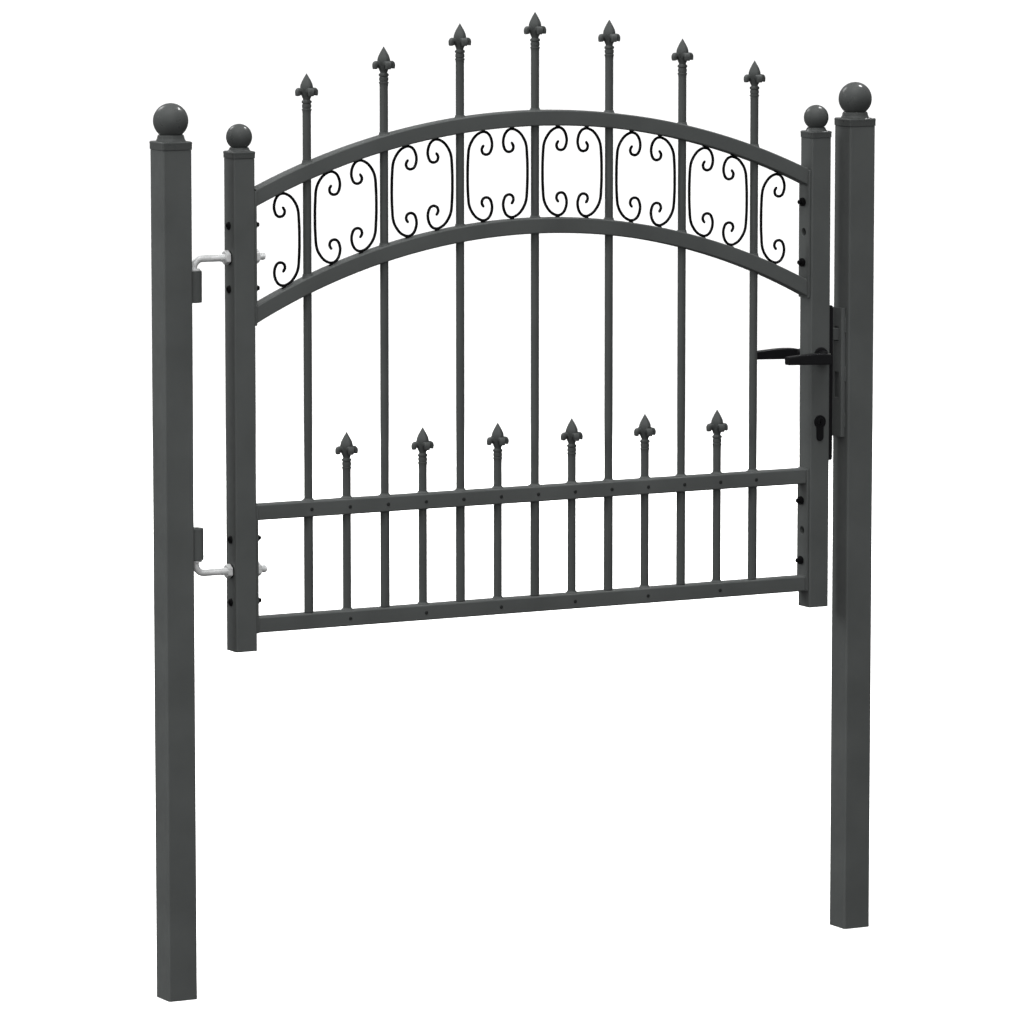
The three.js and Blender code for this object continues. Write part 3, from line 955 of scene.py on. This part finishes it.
def inner_nut(x, height, way):
    """Nut on a strip with the end of its bolt standing out."""
    thick, end = 5, 3.6
    start = x if way > 0 else x - mm(thick)
    tail = Vector((x, 0, height))
    profile = [[3, 0], [3, (thick + end - 0.8)], [2.3, thick + end]]
    if way < 0:
        profile = [[radius, -distance] for radius, distance in profile]
    return gathered([hex_nut(start, height, 10, thick, 2.8), turned(profile, tail, "x", 20)])


def make_frame_bolts():
    places = {
        "left": (low("left_stile").x, -1, high("left_strip_upper").x, 1),
        "right": (high("right_stile").x, 1, low("right_strip_upper").x, -1),
    }
    for side, (outer, head_way, inner, nut_way) in places.items():
        for end, height in zip(("upper", "lower"), hook_heights):
            for i, offset in enumerate(FRAME_BOLTS):
                name = f"{side}_{end}_{i + 1}"
                head = bolt_head(outer, height + offset, head_way)
                build(f"frame_bolt_{name}", head, screw_black, "leaf", "scroll_black")
                nut = inner_nut(inner, height + offset, nut_way)
                build(f"frame_nut_{name}", nut, screw_black, "leaf", "scroll_black", bevel=0.15)


make_frame_bolts()

# ---- Lock, handle and keep ----------------------------------------------------------------


def slot_shape(start_x, end_x, width, bottom, top, corner):
    """Rounded opening along X between two heights."""
    outline = rounded_rect(mm(width), top - bottom, mm(corner))
    centre = (bottom + top) / 2
    return loft([placed(outline, Vector((x, 0, centre)), Y, Z) for x in (start_x, end_x)])


FACEPLATE = {"width": 25, "thick": 5.6, "corner": 2.5, "screw": 9}  # screw: axis to the plate's end


def make_faceplate():
    case_low, case_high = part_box("lock_case")
    back, front = case_high.x - mm(FACEPLATE["thick"]), case_high.x
    height = (case_low.z + case_high.z) / 2
    rings = []
    for inset, x in ((0.8, back), (0, back + mm(0.3)), (0, front - mm(0.6)), (0.5, front)):
        width, length = mm(FACEPLATE["width"] - 2 * inset), case_high.z - case_low.z - mm(2 * inset)
        outline = rounded_rect(width, length, mm(FACEPLATE["corner"]))
        rings.append(placed(outline, Vector((x, 0, height)), Y, Z))
    openings = []
    for node in ("latch_bolt", "dead_bolt"):
        bottom, top = low(node).z - mm(0.6), high(node).z + mm(0.6)
        openings.append(slot_shape(front - mm(20), front + mm(2), 11.2, bottom, top, 0.8))
    screws = [case_low.z + mm(FACEPLATE["screw"]), case_high.z - mm(FACEPLATE["screw"])]
    for z in screws:
        openings.append(turned([[2.5, -4], [2.5, -2.4], [4.6, 0.2]], Vector((front, 0, z)), "x"))
    build("lock_faceplate", loft(rings), lock_black, "leaf", "lock_black", cuts=openings)
    box_low = (case_low.x, -mm(7.5), case_low.z + PLATE_END)
    box_high = (back + mm(0.5), mm(7.5), case_high.z - PLATE_END)
    shell = block(box_low, box_high)
    build("lock_case_box", shell, lock_black, "leaf", "lock_black", ["lock_case"], bevel=0.8)
    for i, z in enumerate(screws):
        head = button_screw(Vector((front - mm(1.4), 0, z)), X, 4.1, 1.2)
        build(f"faceplate_screw_{i + 1}", head, screw_black, "leaf", "lock_black")


def make_cylinder():
    place = middle("cylinder_plug")
    slot, node = "lock_black", "lock_cylinder"
    hole = turned([[5.7, -20], [5.7, 20]], Vector((place.x, 0, place.z)), "y")
    body = euro_profile(low(node).y, high(node).y, 0)
    build("euro_cylinder", body, lock_black, "leaf", slot, [node], cuts=[hole], bevel=0.4)
    node = "cylinder_plug"
    reach = (high(node).y - low(node).y) * 500
    plug = [[4.9, -reach], [5.4, -reach + 0.5], [5.4, reach - 0.5], [4.9, reach]]
    shape = turned(plug, place, "y", 40)
    keyways = [keyway(place, reach, way) for way in (-1, 1)]
    build("key_plug_turned", shape, lock_black, "key_plug", "lock_steel", [node], cuts=keyways)


def make_slides():
    for node, body in (("latch_bolt", "latch"), ("dead_bolt", "dead_bolt")):
        shape = latch_shape() if node == "latch_bolt" else block(*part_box(node))
        build(f"{node}_nose", shape, weld_paint, body, "lock_steel", [node], bevel=0.7)


def keyway(place, reach, way):
    """A stepped key slot cut into one end of the plug."""
    outline = [
        (-1.2, -3.9),
        (0.4, -3.9),
        (0.4, -2.3),
        (1.3, -2.3),
        (1.3, -0.5),
        (0.5, -0.5),
        (0.5, 1.2),
        (1.1, 1.2),
        (1.1, 3.2),
        (-0.6, 3.2),
        (-0.6, 0.4),
        (-1.2, 0.4),
    ]
    outline = [(mm(u), mm(v)) for u, v in outline]
    ends = (place.y + way * mm(reach - 8), place.y + way * mm(reach + 1))
    return loft([placed(outline, Vector((place.x, y, place.z)), X, Z) for y in ends])


def latch_shape():
    """Latch with its long bevel towards the side that the leaf closes from."""
    start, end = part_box("latch_bolt")
    nose, slope = mm(3), mm(9)
    outline = [
        (start.x, start.y),
        (end.x, start.y),
        (end.x, start.y + nose),
        (end.x - slope, end.y),
        (start.x, end.y),
    ]
    return loft([placed(outline, Z * height, X, Y) for height in (start.z, end.z)])


# Grip stations: [distance from the spindle, top, bottom, inner depth from the stile's axis].
GRIP = [
    [2.6, 2.4, -6.6, 33],
    [2.9, 3.2, -8.4, 32],
    [3.8, 4.1, -9.2, 31],
    [5.6, 4.8, -9.35, 30.4],
    [9, 5.3, -9.2, 31],
    [15, 5.7, -8.95, 33.4],
    [21, 5.95, -8.75, 35],
    [27, 6.0, -8.5, 35.8],
    [36, 5.7, -8.2, 36],
    [45, 5.2, -7.9, 36],
    [56, 4.4, -7.55, 36],
    [67.6, 3.5, -7.2, 36],
    [68.2, 3.3, -7.0, 36.2],
    [68.5, 2.9, -6.6, 36.6],
]


def grip(side):
    """Flat bar with rounded edges, drawn in a little at both ends."""
    place = middle("lever_spindle")
    outer = high("lever_back").y
    rings = []
    for back, top, bottom, inner in GRIP:
        trim = max(0.0, inner - 36) if back > 60 else (0.8 if back < 2.8 else 0)
        near, far = mm(inner), outer - mm(trim)
        outline = rounded_rect(far - near, mm(top - bottom), mm(1.8), 5)
        centre = Vector((place.x - mm(back), side * (near + far) / 2, place.z + mm(top + bottom) / 2))
        rings.append(placed(outline, centre, Y, Z))
    return loft(rings)


# Neck rings: [distance from the stile's axis, shift towards the tip, drop, radius].
NECK = [
    [12, 0, 0, 4.4],
    [12.6, 0, 0, 6.9],
    [13, 0, 0, 7],
    [22, 0, 0, 7],
    [26, 0.6, 0.2, 6.9],
    [30, 2.2, 0.7, 6.8],
    [34, 4.6, 1.4, 6.3],
    [38, 7.4, 2, 5.2],
    [41, 9.5, 2.2, 3.4],
]


def lever(side):
    """Round neck that bends over into a flat grip."""
    place = middle("lever_spindle")
    rings = []
    for reach, shift, drop, radius in NECK:
        centre = Vector((place.x - mm(shift), side * mm(reach), place.z - mm(drop)))
        rings.append(placed(circle(mm(radius), 36), centre, Z, X))
    return gathered([grip(side), loft(rings)])


def rose(side):
    """Round plate that the lever's neck turns in."""
    place = middle("lever_spindle")
    face = high("right_stile").y * 1000
    profile = [[7.2, 0], [10.8, 0], [11, 0.2], [11, 1.1], [10.7, 1.6], [10, 1.9], [8.6, 2], [7.2, 2]]
    profile = [[radius, side * (face + 0.05 + rise)] for radius, rise in profile]
    return turned(profile, place, "y", 48, ring_shaped=True)


def make_handle():
    """Levers, roses, and the square bar between the levers with its ends chamfered."""
    for name, side in (("lever_front", -1), ("lever_back", 1)):
        build(f"{name}_grip", lever(side), lever_black, "handle", "handle_black", [name], sharp=50)
        build(f"{name}_rose", rose(side), lever_black, "leaf", "handle_black")
    start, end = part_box("lever_spindle")
    centre = (start + end) / 2
    rings = []
    for trim, y in ((1.2, start.y), (0, start.y + mm(0.6)), (0, end.y - mm(0.6)), (1.2, end.y)):
        outline = rounded_rect(end.z - start.z - mm(trim), end.x - start.x - mm(trim), mm(0.5))
        rings.append(placed(outline, Vector((centre.x, y, centre.z)), Z, X))
    build("spindle_bar", loft(rings), nickel, "handle", "lock_steel", ["lever_spindle"])


def keep_shape():
    """Channel of 2 mm plate, open towards the post, with rounded bends."""
    start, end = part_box("strike_keep")
    half, wall, bend = end.y, mm(2), mm(1.8)
    outline = [(end.x, -half)]
    quarter = [math.pi / 2 * i / 5 for i in range(6)]
    for side, angles in ((-1, quarter), (1, quarter[::-1])):
        for angle in angles:
            x = start.x + bend * (1 - math.sin(angle))
            outline.append((x, side * (half - bend * (1 - math.cos(angle)))))
    outline += [(end.x, half), (end.x, half - wall), (start.x + wall, half - wall)]
    outline += [(start.x + wall, -half + wall), (end.x, -half + wall)]
    return loft([placed(outline, Z * height, X, Y) for height in (start.z, end.z)])


def make_keep():
    start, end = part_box("strike_keep")
    windows = []
    for node in ("latch_bolt", "dead_bolt"):
        bottom, top = low(node).z - mm(2), high(node).z + mm(2)
        windows.append(slot_shape(start.x - mm(3), start.x + mm(4), 12, bottom, top, 1))
    slot = "anthracite_paint"
    build("keep_channel", keep_shape(), anthracite, "posts", slot, ["strike_keep"], cuts=windows, bevel=0.35)
    liner_low = (start.x + mm(3.2), start.y + mm(2.3), start.z + mm(1))
    liner_high = (end.x - mm(0.3), end.y - mm(2.3), end.z - mm(1))
    build("keep_liner", block(liner_low, liner_high), anthracite, "posts", slot, bevel=0.4)
    welds = []
    for way in (-1, 1):
        for share in (0.06, 0.42, 0.8):
            bottom = start.z + (end.z - start.z) * share
            seam = Vector((end.x, way * end.y, bottom))
            welds.append(bead(seam, seam + Z * mm(22), 1.5, Vector((-1, way, 0)).normalized()))
    build("keep_welds", gathered(welds), weld_paint, "posts", slot)


make_faceplate()
make_cylinder()
make_slides()
make_handle()
make_keep()


def make_rail_welds():
    """Beads where the rails' ends meet the strips."""
    half = rail_side / 2
    for node in (*RAILS, *ARCH_RADIUS):
        for x, way in ((low(node).x, 1), (high(node).x, -1)):
            if node in ARCH_RADIUS:
                top = arch_height(node, x, 0)
                bottom = arch_height(node, x, rail_side)
            else:
                top, bottom = high(node).z, low(node).z
            side = "left" if way > 0 else "right"
            seams = []
            for y in (-half, half):
                facing = Vector((way, math.copysign(1, y), 0)).normalized()
                ends = [Vector((x, y, height)) for height in (bottom, top)]
                seams.append(bead(*ends, 0.9, facing))
            for height, up in ((top, 1), (bottom, -1)):
                ends = [Vector((x, y, height)) for y in (-half, half)]
                seams.append(bead(*ends, 0.9, Vector((way, 0, up)).normalized()))
            build(f"{node}_weld_{side}", gathered(seams), weld_paint, "leaf", "anthracite_paint")


make_rail_welds()

# ---- Camera, light and floor --------------------------------------------------------------


def make_camera(centre):
    azimuth, elevation, distance = math.radians(-28.234), math.radians(7.268), 7.833
    flat = math.cos(elevation)
    back = Vector((math.sin(azimuth) * flat, -math.cos(azimuth) * flat, math.sin(elevation)))
    data = bpy.data.cameras.new("view")
    data.lens = 211.8
    data.clip_end = 400
    camera = bpy.data.objects.new("view", data)
    camera.location = centre + Vector((-0.0165, 0, -0.0265)) + back * distance
    camera.rotation_mode = "QUATERNION"
    camera.rotation_quaternion = (-back).to_track_quat("-Z", "Y")
    bpy.context.scene.collection.objects.link(camera)
    bpy.context.scene.camera = camera


def make_world():
    """Pure white to look at, but a dimmer light on the gate, and dimmest from below."""
    world = bpy.data.worlds.new("studio")
    world.use_nodes = True
    tree = world.node_tree
    paper = tree.nodes["Background"]
    paper.inputs["Color"].default_value = (1, 1, 1, 1)
    paper.inputs["Strength"].default_value = 1.0
    sky = tree.nodes.new("ShaderNodeBackground")
    place = tree.nodes.new("ShaderNodeTexCoord")
    split = tree.nodes.new("ShaderNodeSeparateXYZ")
    ramp = tree.nodes.new("ShaderNodeMapRange")
    ramp.inputs["From Min"].default_value = -0.3
    ramp.inputs["From Max"].default_value = 0.9
    ramp.inputs["To Min"].default_value = 0.12
    ramp.inputs["To Max"].default_value = 0.5
    tree.links.new(place.outputs["Generated"], split.inputs["Vector"])
    tree.links.new(split.outputs["Z"], ramp.inputs["Value"])
    tree.links.new(ramp.outputs["Result"], sky.inputs["Strength"])
    seen = tree.nodes.new("ShaderNodeLightPath")
    choice = tree.nodes.new("ShaderNodeMixShader")
    tree.links.new(seen.outputs["Is Camera Ray"], choice.inputs["Fac"])
    tree.links.new(sky.outputs["Background"], choice.inputs[1])
    tree.links.new(paper.outputs["Background"], choice.inputs[2])
    tree.links.new(choice.outputs["Shader"], tree.nodes["World Output"].inputs["Surface"])
    bpy.context.scene.world = world


def make_lamps(centre):
    """Soft lamps all round and a wide sun. Only the mirrored ones show as glints."""
    for name, place, size, power, mirrored in (
        ("overhead", (-0.3, -0.6, 4.4), 2.4, 90, False),
        ("front", (-2.6, -5.2, 2.2), 2.6, 180, False),
        ("left", (-4.2, 1.2, 2.4), 1.6, 170, False),
        ("rear", (2.4, 5.2, 2.2), 2.6, 180, False),
        ("glint", (2.3, 0.6, 4.2), 0.5, 40, True),
        ("rim", (-1.2, 3.6, 3.9), 1.4, 25, True),
    ):
        light = bpy.data.lights.new(name, "AREA")
        light.size = size
        light.energy = power
        lamp = bpy.data.objects.new(name, light)
        lamp.location = place
        lamp.visible_glossy = mirrored
        lamp.rotation_mode = "QUATERNION"
        lamp.rotation_quaternion = (centre - Vector(place)).to_track_quat("-Z", "Y")
        bpy.context.scene.collection.objects.link(lamp)
    sun = bpy.data.lights.new("daylight", "SUN")
    sun.energy = 3.0
    sun.angle = math.radians(60)
    lamp = bpy.data.objects.new("daylight", sun)
    lamp.rotation_mode = "QUATERNION"
    lamp.rotation_quaternion = Vector((0.25, 0.35, -1)).normalized().to_track_quat("-Z", "Y")
    lamp.visible_glossy = False
    bpy.context.scene.collection.objects.link(lamp)


def make_floor():
    paper = Nodes("studio_floor", (0.95, 0.95, 0.95), 0.8)
    paper.set("Specular IOR Level", 0.1)
    paper.tint(paper.noise(2.5, 4), (0.95, 0.95, 0.95), (0.97, 0.97, 0.97))
    paper.bump(paper.noise(180, 2), mm(0.1), 0.2)
    reach, below = 150, cad_low.z - mm(0.2)
    corners = [(-reach, -reach), (reach, -reach), (reach, reach), (-reach, reach)]
    mesh = bpy.data.meshes.new("floor")
    mesh.from_pydata([(x, y, below) for x, y in corners], [], [[0, 1, 2, 3]])
    mesh.materials.append(paper.material)
    floor = bpy.data.objects.new("floor", mesh)
    floor.visible_diffuse = False
    floor.visible_glossy = False
    bpy.context.scene.collection.objects.link(floor)


bpy.context.scene.view_settings.view_transform = "Standard"
make_camera((cad_low + cad_high) / 2)
make_world()
make_lamps((cad_low + cad_high) / 2)
make_floor()
